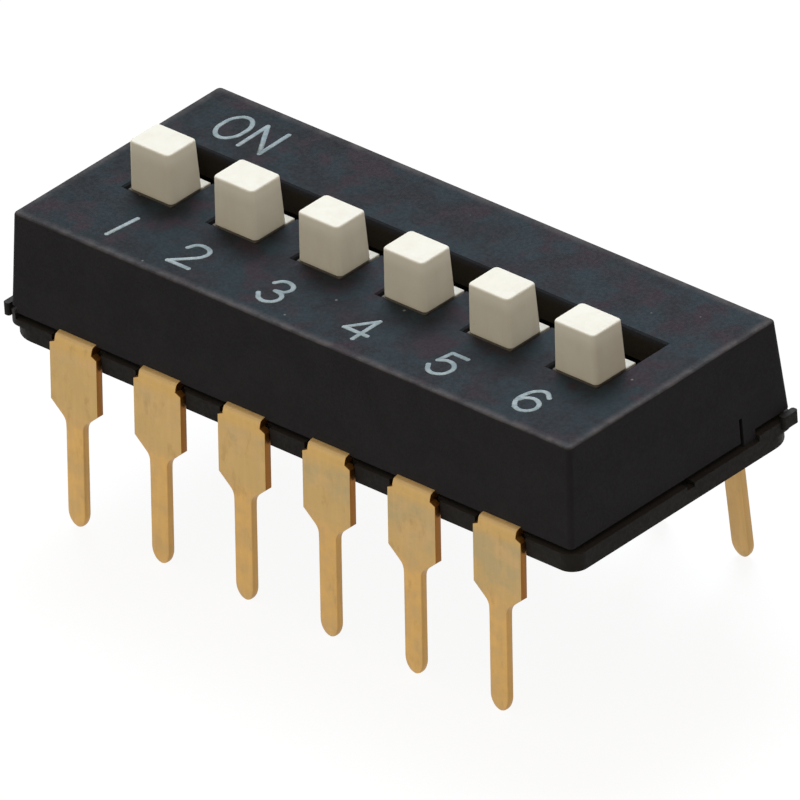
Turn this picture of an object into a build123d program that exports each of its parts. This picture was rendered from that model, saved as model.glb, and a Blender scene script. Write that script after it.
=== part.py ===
from build123d import *

import math
import os

# Six-position slide DIP switch. Lengths in millimetres, angles in degrees, +Z up.
# The origin is the centre of the lead footprint, on the upper face of the board.
# +X runs from position one to the last, and +Y from OFF to ON. All sliders are modelled OFF.

# Lead grid
POSITIONS = 6
PITCH = 2.54
ROW_SPACING = 7.62

# Heights of the moulded body
BOARD_CLEARANCE = 1.27
BASE_HEIGHT = 0.56
COVER_HEIGHT = 2.46

# Terminals, stamped from strip
LEAD_THICKNESS = 0.20
LEAD_SPLAY_ANGLE = 3.7
BEND_RADIUS = 0.13
PAD_GAP = 1.10
NECK_WIDTH = 1.12
NECK_DROP = 0.20
SHOULDER_WIDTH = 1.42
SHOULDER_CORNER = 0.12
SHOULDER_FOOT = 0.18
TAPER_LENGTH = 0.38
TAPER_FILLET = 0.30
PIN_WIDTH = 0.52
PIN_DEPTH = 2.85
PIN_TIP_LENGTH = 0.40
PIN_COINING = 0.05

# Cover, a drafted shell with a comb-shaped opening
COVER_LEAD_GAP = 0.10
COVER_END_LEAN = 0.08
COVER_SIDE_LEAN = 0.22
COVER_CORNER_RADIUS = 0.12
COVER_EDGE_RADIUS = 0.07
COVER_PLATE = 0.75
COVER_END_WALL = 0.59
COVER_SIDE_WALL = 0.70
SLOT_EDGE_CHAMFER = 0.04
SLOT_OFFSET = 0.05
CHANNEL_WIDTH = 0.98
SLIT_WIDTH = 0.10
SLIT_HEIGHT = 0.60
SLIT_OFFSET = 2.00
TAB_WIDTH = 0.38
CORNER_STEP_HEIGHT = 0.14

# Base, with a barrier rib on each side of every position
RIB_THICKNESS = 0.30
BASE_END_LEDGE = 0.12
BASE_SIDE_LEDGE = 0.07
BASE_CORNER_RADIUS = 0.40
BASE_CUT_CORNER_RADIUS = 0.75
BASE_CUT_HEIGHT = 0.28
PLATFORM_INSET = 0.21
RIM_GAP = 0.13
EAR_HEIGHT = 0.27
EAR_ROOT = 0.05
EAR_PROUD = 0.09
EAR_LENGTH = 0.48
EAR_INSET = 0.06
EAR_RADIUS = 0.06
TICK_WIDTH = 0.25
TICK_DEPTH = 0.10
TICK_OFFSET = 0.16

# Sliders
TRAVEL = 0.90
KNOB_HEIGHT = 1.19
KNOB_FOOT_WIDTH = 1.29
KNOB_FOOT_DEPTH = 1.04
KNOB_LEAN = 0.04
KNOB_CORNER_RADIUS = 0.10
KNOB_EDGE_CHAMFER = 0.05
KNOB_STEP = 0.04
COLLAR_WIDTH = 1.31
COLLAR_LENGTH = 1.32
COLLAR_SINK = 0.05
FLANGE_TOE = 1.00
FLANGE_THICKNESS = 0.95
PEG_SIZE = 0.34
PEG_TAIL = 0.08

# Moving contacts, one leaf spring under each slider
LEAF_THICKNESS = 0.10
LEAF_WIDTH = 0.90
LEAF_BRIDGE = 0.76
LEAF_BEND_RADIUS = 0.14
CONTACT_SPAN = 1.50
CONTACT_LIP = 0.20
CONTACT_LIP_RISE = 0.18

# Clearances
INSERT_FIT = 0.01
NOTCH_CLEARANCE = 0.04
SLOT_SIDE_CLEARANCE = 0.085
SLOT_END_CLEARANCE = 0.04
SLIDE_CLEARANCE = 0.07
LIFT_CLEARANCE = 0.05
RIB_CLEARANCE = 0.05
WIPE_CLEARANCE = 0.03
PEG_CLEARANCE = 0.03
EAR_CLEARANCE = 0.04
OVERRUN = 1.00

# Levels above the board
BASE_TOP = BOARD_CLEARANCE + BASE_HEIGHT
PARTING = BASE_TOP + INSERT_FIT
RIM_TOP = PARTING - RIM_GAP
CUT_TOP = BOARD_CLEARANCE + BASE_CUT_HEIGHT
COVER_TOP = PARTING + COVER_HEIGHT
PLATE_UNDERSIDE = COVER_TOP - COVER_PLATE
FLANGE_TOP = PLATE_UNDERSIDE - LIFT_CLEARANCE
FLANGE_UNDERSIDE = FLANGE_TOP - FLANGE_THICKNESS
COLLAR_TOP = COVER_TOP - COLLAR_SINK

# Plan sizes of the body
CAVITY_LENGTH = POSITIONS * PITCH + RIB_THICKNESS + 2 * RIB_CLEARANCE
COVER_LENGTH = CAVITY_LENGTH + 2 * COVER_END_WALL
COVER_WIDTH = ROW_SPACING - LEAD_THICKNESS - 2 * COVER_LEAD_GAP
CAVITY_WIDTH = COVER_WIDTH - 2 * COVER_SIDE_WALL
BASE_LENGTH = COVER_LENGTH + 2 * BASE_END_LEDGE
BASE_WIDTH = COVER_WIDTH + 2 * BASE_SIDE_LEDGE
PLATFORM_LENGTH = COVER_LENGTH - 2 * PLATFORM_INSET
PLATFORM_WIDTH = COVER_WIDTH - 2 * PLATFORM_INSET
TAB_FRONT = SLIT_OFFSET + SLIT_WIDTH / 2
TAB_BACK = TAB_FRONT + TAB_WIDTH

# Plan sizes of the opening, from the collar that runs in it
NOTCH_WIDTH = COLLAR_WIDTH + 2 * SLOT_SIDE_CLEARANCE
SLOT_LENGTH = COLLAR_LENGTH + TRAVEL + 2 * SLOT_END_CLEARANCE
SLOT_FRONT = SLOT_OFFSET - SLOT_LENGTH / 2
SLOT_BACK = SLOT_OFFSET + SLOT_LENGTH / 2
CHANNEL_LENGTH = (POSITIONS - 1) * PITCH + NOTCH_WIDTH

# Places along Y of a slider at OFF
COLLAR_FRONT = SLOT_FRONT + SLOT_END_CLEARANCE
COLLAR_BACK = COLLAR_FRONT + COLLAR_LENGTH
KNOB_MIDDLE = COLLAR_FRONT + KNOB_STEP + KNOB_FOOT_DEPTH / 2
FLANGE_FRONT = COLLAR_FRONT - FLANGE_TOE
FLANGE_MIDDLE = (FLANGE_FRONT + COLLAR_BACK) / 2
FLANGE_WIDTH = PITCH - RIB_THICKNESS - 2 * SLIDE_CLEARANCE

# Places of the leads
LEAD_LEAN = math.tan(math.radians(LEAD_SPLAY_ANGLE))
LEAD_LEVEL = BASE_TOP - LEAD_THICKNESS / 2
LEAD_CORNER = ROW_SPACING / 2 - LEAD_LEVEL * LEAD_LEAN
BEND_START = LEAD_CORNER - BEND_RADIUS
NECK_FOOT = BASE_TOP - NECK_DROP
TAPER_FOOT = SHOULDER_FOOT - TAPER_LENGTH


def position_x(index):
    """X of a switch position, counted from zero."""
    return (index - (POSITIONS - 1) / 2) * PITCH


def block(low, high):
    """A box between two opposite corners."""
    size = [b - a for a, b in zip(low, high)]
    middle = [(a + b) / 2 for a, b in zip(low, high)]
    return Pos(*middle) * Box(*size)


def slab(outline, bottom, top):
    """A flat outline raised from one level to another."""
    return extrude(Pos(0, 0, bottom) * outline, amount=top - bottom)


def half_turn(shape):
    """The same shape at the opposite end of the body."""
    return Rot(0, 0, 180) * shape


def cover_opening():
    """The channel behind the knobs, with one notch in front of it for each knob."""
    bottom = PLATE_UNDERSIDE - OVERRUN
    top = COVER_TOP + OVERRUN
    opening = block(
        (-CHANNEL_LENGTH / 2, SLOT_BACK - CHANNEL_WIDTH, bottom),
        (CHANNEL_LENGTH / 2, SLOT_BACK, top),
    )
    for index in range(POSITIONS):
        x = position_x(index)
        opening += block(
            (x - NOTCH_WIDTH / 2, SLOT_FRONT, bottom),
            (x + NOTCH_WIDTH / 2, SLOT_BACK, top),
        )
    return opening


def cover_slit():
    """The slit in the end wall beside the tab."""
    return block(
        (CAVITY_LENGTH / 2 - OVERRUN, TAB_FRONT - SLIT_WIDTH, PARTING - OVERRUN),
        (COVER_LENGTH / 2 + OVERRUN, TAB_FRONT, PARTING + SLIT_HEIGHT),
    )


def cover_tab():
    """The tab of the end wall that reaches down to the base's rim."""
    return block(
        (PLATFORM_LENGTH / 2 + INSERT_FIT, TAB_FRONT, RIM_TOP + INSERT_FIT),
        (COVER_LENGTH / 2, TAB_BACK, PARTING),
    )


def corner_step(outline, bottom):
    """The part of an outline behind the tab, where the parting line runs higher."""
    corner = block(
        (PLATFORM_LENGTH / 2, TAB_BACK, bottom),
        (BASE_LENGTH / 2 + OVERRUN, BASE_WIDTH / 2 + OVERRUN, bottom + CORNER_STEP_HEIGHT),
    )
    return slab(outline, bottom, bottom + CORNER_STEP_HEIGHT) & corner


def make_cover():
    """The upper shell: drafted walls, rounded top edges and the comb-shaped opening."""
    skirt = RectangleRounded(COVER_LENGTH, COVER_WIDTH, COVER_CORNER_RADIUS)
    crown = RectangleRounded(
        COVER_LENGTH - 2 * COVER_END_LEAN,
        COVER_WIDTH - 2 * COVER_SIDE_LEAN,
        COVER_CORNER_RADIUS,
    )
    shell = loft([Pos(0, 0, PARTING) * skirt, Pos(0, 0, COVER_TOP) * crown], ruled=True)
    shell = fillet(shell.faces().sort_by(Axis.Z)[-1].edges(), COVER_EDGE_RADIUS)
    shell -= block(
        (-CAVITY_LENGTH / 2, -CAVITY_WIDTH / 2, PARTING - OVERRUN),
        (CAVITY_LENGTH / 2, CAVITY_WIDTH / 2, PLATE_UNDERSIDE),
    )
    shell -= cover_opening()
    top_face = shell.faces().sort_by(Axis.Z)[-1]
    shell = chamfer(top_face.inner_wires().edges(), SLOT_EDGE_CHAMFER)
    cut = cover_slit() + corner_step(skirt, PARTING)
    shell = shell - cut - half_turn(cut)
    return shell + cover_tab() + half_turn(cover_tab())


def rim_outline():
    """The plan of the base's rim."""
    return RectangleRounded(BASE_LENGTH, BASE_WIDTH, BASE_CORNER_RADIUS)


def base_ear():
    """The ear outside one end of the cover, and the step of the rim that it stands on."""
    inner = COVER_LENGTH / 2 + EAR_CLEARANCE
    outer = BASE_LENGTH / 2 + EAR_PROUD
    ear = RectangleRounded(outer - inner, EAR_LENGTH, EAR_RADIUS)
    ear = Pos((inner + outer) / 2, (BASE_WIDTH - EAR_LENGTH) / 2 - EAR_INSET) * ear
    return slab(ear, RIM_TOP - EAR_ROOT, RIM_TOP + EAR_HEIGHT) + corner_step(rim_outline(), RIM_TOP)


def base_body():
    """The tray: a rim below the cover's edge, and the platform that the cover sits on."""
    foot = Rectangle(BASE_LENGTH, BASE_WIDTH)
    foot = fillet(foot.vertices().filter_by(lambda v: v.X * v.Y < 0), BASE_CORNER_RADIUS)
    foot = fillet(foot.vertices().filter_by(lambda v: v.X * v.Y > 0), BASE_CUT_CORNER_RADIUS)
    platform = RectangleRounded(PLATFORM_LENGTH, PLATFORM_WIDTH, COVER_CORNER_RADIUS)
    body = slab(foot, BOARD_CLEARANCE, CUT_TOP)
    body += slab(rim_outline(), CUT_TOP, RIM_TOP)
    body += slab(platform, CUT_TOP, BASE_TOP)
    return body


def lead_groove(x):
    """The bed of one back-row terminal, and the notch that its leg passes through."""
    half_neck = NECK_WIDTH / 2 + INSERT_FIT
    half_leg = SHOULDER_WIDTH / 2 + NOTCH_CLEARANCE
    bed = block(
        (x - half_neck, PAD_GAP / 2 - INSERT_FIT, BASE_TOP - LEAD_THICKNESS - INSERT_FIT),
        (x + half_neck, BASE_WIDTH / 2 + OVERRUN, BASE_TOP + OVERRUN),
    )
    notch = block(
        (x - half_leg, BEND_START - NOTCH_CLEARANCE, BOARD_CLEARANCE - OVERRUN),
        (x + half_leg, BASE_WIDTH / 2 + OVERRUN, BASE_TOP + OVERRUN),
    )
    return bed + notch


def base_tick():
    """A small notch in the upper edge of the rim, at the middle of one end."""
    return block(
        (PLATFORM_LENGTH / 2, TICK_OFFSET - TICK_WIDTH / 2, RIM_TOP - TICK_DEPTH),
        (BASE_LENGTH / 2 + OVERRUN, TICK_OFFSET + TICK_WIDTH / 2, RIM_TOP + OVERRUN),
    )


def make_base():
    """The lower moulding, with beds for the terminals and barrier ribs between positions."""
    base = base_body() + base_ear() + half_turn(base_ear())
    for index in range(POSITIONS):
        groove = lead_groove(position_x(index))
        base -= groove
        base -= half_turn(groove)
    rib_half_length = CAVITY_WIDTH / 2 - RIB_CLEARANCE
    for index in range(POSITIONS + 1):
        x = position_x(index) - PITCH / 2
        base += block(
            (x - RIB_THICKNESS / 2, -rib_half_length, BASE_TOP - LEAD_THICKNESS),
            (x + RIB_THICKNESS / 2, rib_half_length, PLATE_UNDERSIDE - RIB_CLEARANCE),
        )
    tick = base_tick()
    return base - tick - half_turn(tick)


def coined_pin():
    """The pin of a back-row terminal: a strip with a bullet-shaped tip and coined edges."""
    length = PIN_DEPTH / math.cos(math.radians(LEAD_SPLAY_ANGLE))
    straight = TAPER_FOOT + length - PIN_TIP_LENGTH
    outline = Pos(0, TAPER_FOOT - straight / 2) * Rectangle(PIN_WIDTH, straight)
    outline += Pos(0, PIN_TIP_LENGTH - length) * Ellipse(PIN_WIDTH / 2, PIN_TIP_LENGTH)
    pin = extrude(Plane.XZ.offset(-LEAD_THICKNESS / 2) * outline, amount=LEAD_THICKNESS)
    edges = pin.faces().filter_by(Axis.Y).edges()
    pin = chamfer(edges - edges.group_by(Axis.Z)[-1], PIN_COINING)
    return Pos(0, ROW_SPACING / 2, 0) * Rot(LEAD_SPLAY_ANGLE, 0, 0) * pin


def make_terminal():
    """One back-row terminal: a contact pad, a bend, a wide shoulder and a narrow coined pin."""
    tip = (ROW_SPACING / 2 + PIN_DEPTH * LEAD_LEAN, -PIN_DEPTH)
    path = FilletPolyline(
        (PAD_GAP / 2, LEAD_LEVEL), (LEAD_CORNER, LEAD_LEVEL), tip, radius=BEND_RADIUS
    )
    strip = extrude(
        Plane.YZ * trace(path, line_width=LEAD_THICKNESS), amount=SHOULDER_WIDTH / 2, both=True
    )
    right_side = [
        (NECK_WIDTH / 2, BASE_TOP + OVERRUN),
        (NECK_WIDTH / 2, NECK_FOOT),
        (SHOULDER_WIDTH / 2, NECK_FOOT - SHOULDER_CORNER),
        (SHOULDER_WIDTH / 2, SHOULDER_FOOT),
        (PIN_WIDTH / 2, TAPER_FOOT),
        (PIN_WIDTH / 2, TAPER_FOOT - TAPER_FILLET),
    ]
    left_side = [(-x, z) for x, z in reversed(right_side)]
    outline = make_face(Polyline(*right_side, *left_side, close=True))
    outline = fillet(outline.vertices().group_by(Axis.Y)[1], TAPER_FILLET)
    blade = strip & extrude(Plane.XZ * outline, amount=ROW_SPACING, both=True)
    return blade + coined_pin()


def make_slider():
    """One slider at X zero: a tapered knob, the collar, the captive flange and the contact's peg."""
    foot = RectangleRounded(KNOB_FOOT_WIDTH, KNOB_FOOT_DEPTH, KNOB_CORNER_RADIUS)
    crown = RectangleRounded(
        KNOB_FOOT_WIDTH - 2 * KNOB_LEAN,
        KNOB_FOOT_DEPTH - 2 * KNOB_LEAN,
        KNOB_CORNER_RADIUS,
    )
    sections = [
        Pos(0, KNOB_MIDDLE, COLLAR_TOP) * foot,
        Pos(0, KNOB_MIDDLE, COVER_TOP + KNOB_HEIGHT) * crown,
    ]
    knob = loft(sections, ruled=True)
    knob = chamfer(knob.faces().sort_by(Axis.Z)[-1].edges(), KNOB_EDGE_CHAMFER)
    collar = block(
        (-COLLAR_WIDTH / 2, COLLAR_FRONT, FLANGE_TOP),
        (COLLAR_WIDTH / 2, COLLAR_BACK, COLLAR_TOP),
    )
    flange = block(
        (-FLANGE_WIDTH / 2, FLANGE_FRONT, FLANGE_UNDERSIDE),
        (FLANGE_WIDTH / 2, COLLAR_BACK, FLANGE_TOP),
    )
    peg = slab(
        Rectangle(PEG_SIZE, PEG_SIZE),
        FLANGE_UNDERSIDE - INSERT_FIT - LEAF_THICKNESS - PEG_TAIL,
        FLANGE_UNDERSIDE,
    )
    return knob + collar + flange + Pos(0, FLANGE_MIDDLE) * peg


def make_contact():
    """One moving contact at X zero: a leaf bridge with two bowed arms and turned-up lips."""
    bridge = FLANGE_UNDERSIDE - INSERT_FIT - LEAF_THICKNESS / 2
    wipe = BASE_TOP + WIPE_CLEARANCE + LEAF_THICKNESS / 2
    right_side = [
        (LEAF_BRIDGE / 2, bridge),
        (CONTACT_SPAN / 2, wipe),
        (CONTACT_SPAN / 2 + CONTACT_LIP, wipe + CONTACT_LIP_RISE),
    ]
    left_side = [(-y, z) for y, z in reversed(right_side)]
    path = FilletPolyline(*left_side, *right_side, radius=LEAF_BEND_RADIUS)
    leaf = extrude(
        Plane.YZ * trace(path, line_width=LEAF_THICKNESS), amount=LEAF_WIDTH / 2, both=True
    )
    window = PEG_SIZE + 2 * PEG_CLEARANCE
    hole = slab(Rectangle(window, window), bridge - LEAF_THICKNESS, bridge + LEAF_THICKNESS)
    return Pos(0, FLANGE_MIDDLE) * (leaf - hole)


def make_parts():
    """Every piece of the switch in its place, by name."""
    terminal = make_terminal()
    slider = make_slider()
    contact = make_contact()
    parts = {"cover": make_cover(), "base": make_base()}
    for index in range(POSITIONS):
        place = Pos(position_x(index), 0, 0)
        number = index + 1
        parts[f"slider_{number}"] = place * slider
        parts[f"contact_{number}"] = place * contact
        parts[f"terminal_front_{number}"] = place * half_turn(terminal)
        parts[f"terminal_back_{number}"] = place * terminal
    return parts


os.makedirs("parts", exist_ok=True)
for name, shape in make_parts().items():
    export_step(shape, f"parts/{name}.step")
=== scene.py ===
import math

import bmesh
import bpy
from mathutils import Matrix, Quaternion, Vector


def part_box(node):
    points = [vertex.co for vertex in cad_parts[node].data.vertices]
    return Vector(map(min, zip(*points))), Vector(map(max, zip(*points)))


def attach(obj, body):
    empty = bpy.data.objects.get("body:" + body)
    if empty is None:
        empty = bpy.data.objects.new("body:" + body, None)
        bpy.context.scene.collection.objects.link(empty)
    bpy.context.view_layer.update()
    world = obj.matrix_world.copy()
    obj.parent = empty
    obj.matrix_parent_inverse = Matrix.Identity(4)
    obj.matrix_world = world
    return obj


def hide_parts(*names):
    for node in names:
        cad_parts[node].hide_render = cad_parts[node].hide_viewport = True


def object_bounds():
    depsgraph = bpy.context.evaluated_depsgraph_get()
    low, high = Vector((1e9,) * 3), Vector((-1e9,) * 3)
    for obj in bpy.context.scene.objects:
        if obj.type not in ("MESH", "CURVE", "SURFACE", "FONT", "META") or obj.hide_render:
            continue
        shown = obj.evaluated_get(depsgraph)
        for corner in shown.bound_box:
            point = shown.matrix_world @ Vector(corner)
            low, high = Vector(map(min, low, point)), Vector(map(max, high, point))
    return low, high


# Six-position slide DIP switch: looks for its CAD frame. Lengths are in metres, as in the frame.
MM = 0.001
POSITIONS = 6

# Limits of the modelling tools
DOUBLES_REACH = 0.0005 * MM
UPRIGHT_SHARE = 0.7
FACING_UP = 0.9
ROUNDED_ANGLE = math.radians(40)
SMOOTH_ANGLE = math.radians(35)

# Slider, as the knob, collar and flange of the source
KNOB_FOOT_WIDTH = 1.29 * MM
KNOB_FOOT_DEPTH = 1.04 * MM
KNOB_LEAN = 0.04 * MM
KNOB_STEP = 0.04 * MM
KNOB_CORNER_RADIUS = 0.12 * MM
KNOB_CORNER_STEPS = 8
KNOB_CROWN_RADIUS = 0.05 * MM
KNOB_CROWN_STEPS = 6
KNOB_SINK = 0.10 * MM
COLLAR_WIDTH = 1.31 * MM
COLLAR_LENGTH = 1.32 * MM
COLLAR_SINK = 0.05 * MM
COLLAR_EDGE_RADIUS = 0.03 * MM
FLANGE_TOP_DROP = 0.80 * MM
FLANGE_THICKNESS = 0.95 * MM
FLANGE_EDGE_RADIUS = 0.04 * MM
PEG_SIZE = 0.34 * MM

# Terminal, as the strip, blade and pin of the source
STRIP_THICKNESS = 0.20 * MM
STRIP_LEVEL = 1.73 * MM
PAD_START = 0.55 * MM
PAD_END = 3.15 * MM
HEEL_LIFT = 0.06 * MM
BEND_RADIUS = 0.13 * MM
BEND_CRISPNESS = 0.3
ROW_OFFSET = 3.81 * MM
SPLAY = math.radians(3.7)
NECK_HALF = 0.56 * MM
NECK_FOOT = 1.70 * MM
SHOULDER_HALF = 0.71 * MM
SHOULDER_TOP = 1.60 * MM
SHOULDER_FOOT = 0.18 * MM
TAPER_FOOT = -0.20 * MM
TAPER_FILLET = 0.30 * MM
PIN_HALF = 0.27 * MM
TIP_START = -2.45 * MM
TIP_END = -2.85 * MM
STAMPED_EDGE = 0.018 * MM
COINED_EDGE = 0.045 * MM
EDGE_SHARE = 0.98
TIP_THICKNESS_SHARE = 0.4
SECTION_POINTS = 20
BEND_STEPS = 8
TAPER_STEPS = 10
TIP_STEPS = 10

# Cover's top face, inside its rounded edge
CROWN_HALF_LENGTH = 8.33 * MM
CROWN_HALF_WIDTH = 3.39 * MM

# Legend, pad-printed on the cover
DIGIT_HEIGHT = 0.89 * MM
DIGIT_MIDDLE_Y = -2.37 * MM
DIGIT_SHIFT = -0.05 * MM
ONE_SHIFT = 0.46 * MM
STROKE = 0.125 * MM
STROKE_ROUND_STEPS = 2
STROKE_LINE_STEPS = 8
STROKE_END_SEGMENTS = 12
STROKE_END_RINGS = 8
INK_RISE = 0.010 * MM
ON_HEIGHT = 0.99 * MM
ON_MIDDLE_Y = 2.245 * MM
O_MIDDLE_X = -6.83 * MM
N_MIDDLE_X = -5.93 * MM

# Camera, floor and light
CAMERA_AIM = Vector((-0.281, 0.235, 0.596)) * MM
CAMERA_DISTANCE = 0.61976
CAMERA_AZIMUTH = 44.47
CAMERA_ELEVATION = 31.45
CAMERA_ROLL = -3.98
CAMERA_LENS = 1260
CAMERA_NEAR = 0.01
CAMERA_FAR = 10
FLOOR_SIZE = 3.0
FLOOR_GLOW = 0.92
FLOOR_GREY = 0.11
SOFTBOX_SIZE = 1.2
SOFTBOX_DISTANCE = 2.5
SOFTBOX_FROM = Vector((-0.42, 0.46, 0.78))
SOFTBOX_POWER = 44
SOFTBOX_COLOUR = (0.96, 1.08, 1.23)
FILL_FROM = Vector((-0.6, -0.8, 0.0))
FILL_BRIGHT = (0.63, 0.56, 0.455, 1)
FILL_DIM = (0.38, 0.325, 0.265, 1)
WHITE = (1, 1, 1, 1)

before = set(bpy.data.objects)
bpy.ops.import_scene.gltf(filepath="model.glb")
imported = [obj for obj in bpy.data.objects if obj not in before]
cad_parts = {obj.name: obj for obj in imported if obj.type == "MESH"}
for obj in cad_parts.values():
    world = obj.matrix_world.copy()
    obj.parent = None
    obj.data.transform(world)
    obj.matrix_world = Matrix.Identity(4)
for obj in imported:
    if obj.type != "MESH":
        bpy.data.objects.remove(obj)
cad_low, cad_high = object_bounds()
COVER_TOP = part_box("cover")[1].z


# Modelling helpers


def select_only(piece):
    """Makes one piece the only selected and active object."""
    bpy.ops.object.select_all(action="DESELECT")
    piece.select_set(True)
    bpy.context.view_layer.objects.active = piece


def block(name, low, high):
    """A box primitive at its size and place, ready to be shaped."""
    bpy.ops.object.select_all(action="DESELECT")
    low, high = Vector(low), Vector(high)
    bpy.ops.mesh.primitive_cube_add(size=1, location=(low + high) / 2)
    piece = bpy.context.object
    piece.name = name
    piece.scale = high - low
    bpy.ops.object.transform_apply(location=True, rotation=True, scale=True)
    return piece


def pick(piece, faces=None, edges=None):
    """Selects the faces or edges of the piece in edit mode that pass a test."""
    bpy.ops.mesh.select_all(action="DESELECT")
    mesh = bmesh.from_edit_mesh(piece.data)
    mesh.normal_update()
    if faces:
        bpy.ops.mesh.select_mode(type="FACE")
        for face in mesh.faces:
            face.select_set(faces(face))
    if edges:
        bpy.ops.mesh.select_mode(type="EDGE")
        for edge in mesh.edges:
            edge.select_set(edges(edge))
    bmesh.update_edit_mesh(piece.data)


def is_upright(edge):
    """True for an edge that runs mostly up and down."""
    run = edge.verts[1].co - edge.verts[0].co
    return abs(run.z) > UPRIGHT_SHARE * run.length


def round_edges(piece, radius, segments):
    """Rounds the sharp edges of the piece with an applied bevel."""
    select_only(piece)
    bevel = piece.modifiers.new("rounding", "BEVEL")
    bevel.width = radius
    bevel.segments = segments
    bevel.limit_method = "ANGLE"
    bevel.angle_limit = ROUNDED_ANGLE
    bpy.ops.object.modifier_apply(modifier=bevel.name)


def weld_on(piece, other):
    """Joins another solid to the piece as one moulding."""
    select_only(piece)
    union = piece.modifiers.new("one moulding", "BOOLEAN")
    union.operation = "UNION"
    union.solver = "EXACT"
    union.object = other
    bpy.ops.object.modifier_apply(modifier=union.name)
    bpy.data.objects.remove(other)


def close_mesh(piece):
    """Merges doubled points of the piece and turns all its faces outwards."""
    select_only(piece)
    bpy.ops.object.mode_set(mode="EDIT")
    bpy.ops.mesh.select_all(action="SELECT")
    bpy.ops.mesh.remove_doubles(threshold=DOUBLES_REACH)
    bpy.ops.mesh.dissolve_degenerate(threshold=DOUBLES_REACH)
    bpy.ops.mesh.normals_make_consistent(inside=False)
    bpy.ops.object.mode_set(mode="OBJECT")


def copy_to_node(pattern, node, name, turn=0.0):
    """A copy of the pattern at the X of a CAD node, turned round the upright axis if asked."""
    low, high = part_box(node)
    select_only(pattern)
    bpy.ops.object.duplicate(linked=False)
    piece = bpy.context.object
    piece.name = name
    piece.rotation_euler.z = turn
    piece.location.x = (low.x + high.x) / 2
    bpy.ops.object.transform_apply(location=True, rotation=True, scale=True)
    return piece


# Sliders


def model_knob(middle_y, bottom, top):
    """The tapered knob, with rounded upright edges and a rounded crown."""
    half_width, half_depth = KNOB_FOOT_WIDTH / 2, KNOB_FOOT_DEPTH / 2
    knob = block(
        "knob",
        (-half_width, middle_y - half_depth, bottom),
        (half_width, middle_y + half_depth, top),
    )
    select_only(knob)
    bpy.ops.object.mode_set(mode="EDIT")
    pick(knob, faces=lambda face: face.normal.z > FACING_UP)
    taper = (1 - 2 * KNOB_LEAN / KNOB_FOOT_WIDTH, 1 - 2 * KNOB_LEAN / KNOB_FOOT_DEPTH, 1)
    bpy.ops.transform.resize(value=taper, center_override=(0, middle_y, top))
    pick(knob, edges=is_upright)
    bpy.ops.mesh.bevel(offset=KNOB_CORNER_RADIUS, segments=KNOB_CORNER_STEPS, affect="EDGES")
    pick(knob, edges=lambda edge: all(vert.co.z > top - KNOB_LEAN for vert in edge.verts))
    bpy.ops.mesh.bevel(offset=KNOB_CROWN_RADIUS, segments=KNOB_CROWN_STEPS, affect="EDGES")
    bpy.ops.object.mode_set(mode="OBJECT")
    return knob


def model_slider():
    """One slider at X zero: knob, collar, captive flange and peg, welded as one moulding."""
    low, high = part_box("slider_1")
    flange_top = COVER_TOP - FLANGE_TOP_DROP
    flange_bottom = flange_top - FLANGE_THICKNESS
    half_flange = (high.x - low.x) / 2
    collar_front = high.y - COLLAR_LENGTH
    collar_top = COVER_TOP - COLLAR_SINK
    slider = block(
        "slider",
        (-half_flange, low.y, flange_bottom),
        (half_flange, high.y, flange_top),
    )
    round_edges(slider, FLANGE_EDGE_RADIUS, segments=2)
    collar = block(
        "collar",
        (-COLLAR_WIDTH / 2, collar_front, flange_top - KNOB_SINK),
        (COLLAR_WIDTH / 2, high.y, collar_top),
    )
    round_edges(collar, COLLAR_EDGE_RADIUS, segments=3)
    weld_on(slider, collar)
    knob_middle = collar_front + KNOB_STEP + KNOB_FOOT_DEPTH / 2
    weld_on(slider, model_knob(knob_middle, collar_top - KNOB_SINK, high.z))
    peg_middle = (low.y + high.y) / 2
    peg = block(
        "peg",
        (-PEG_SIZE / 2, peg_middle - PEG_SIZE / 2, low.z),
        (PEG_SIZE / 2, peg_middle + PEG_SIZE / 2, flange_bottom + KNOB_SINK),
    )
    round_edges(peg, COLLAR_EDGE_RADIUS, segments=2)
    weld_on(slider, peg)
    close_mesh(slider)
    bpy.ops.object.shade_smooth_by_angle(angle=SMOOTH_ANGLE)
    return slider


def place_sliders(material):
    """Six copies of the slider, each in place of its CAD node."""
    pattern = model_slider()
    pattern.data.materials.append(material)
    for number in range(1, POSITIONS + 1):
        piece = copy_to_node(pattern, f"slider_{number}", f"ivory_slider_{number}")
        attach(piece, f"slider_{number}")
        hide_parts(f"slider_{number}")
    bpy.data.objects.remove(pattern)


# Terminals


def blade_half_width(z):
    """Half the width of the blade or pin at a level."""
    if z > NECK_FOOT:
        return NECK_HALF
    if z > SHOULDER_TOP:
        share = (NECK_FOOT - z) / (NECK_FOOT - SHOULDER_TOP)
        return NECK_HALF + (SHOULDER_HALF - NECK_HALF) * share
    if z > SHOULDER_FOOT:
        return SHOULDER_HALF
    slope = math.atan2(SHOULDER_HALF - PIN_HALF, SHOULDER_FOOT - TAPER_FOOT)
    reach = TAPER_FILLET * math.tan(slope / 2)
    if z > TAPER_FOOT + reach * math.cos(slope):
        return PIN_HALF + (z - TAPER_FOOT) * math.tan(slope)
    if z > TAPER_FOOT - reach:
        rise = z - TAPER_FOOT + reach
        return PIN_HALF + TAPER_FILLET - math.sqrt(TAPER_FILLET ** 2 - rise ** 2)
    if z > TIP_START:
        return PIN_HALF
    return PIN_HALF * math.sqrt(max(0, 1 - ((TIP_START - z) / (TIP_START - TIP_END)) ** 2))


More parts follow.
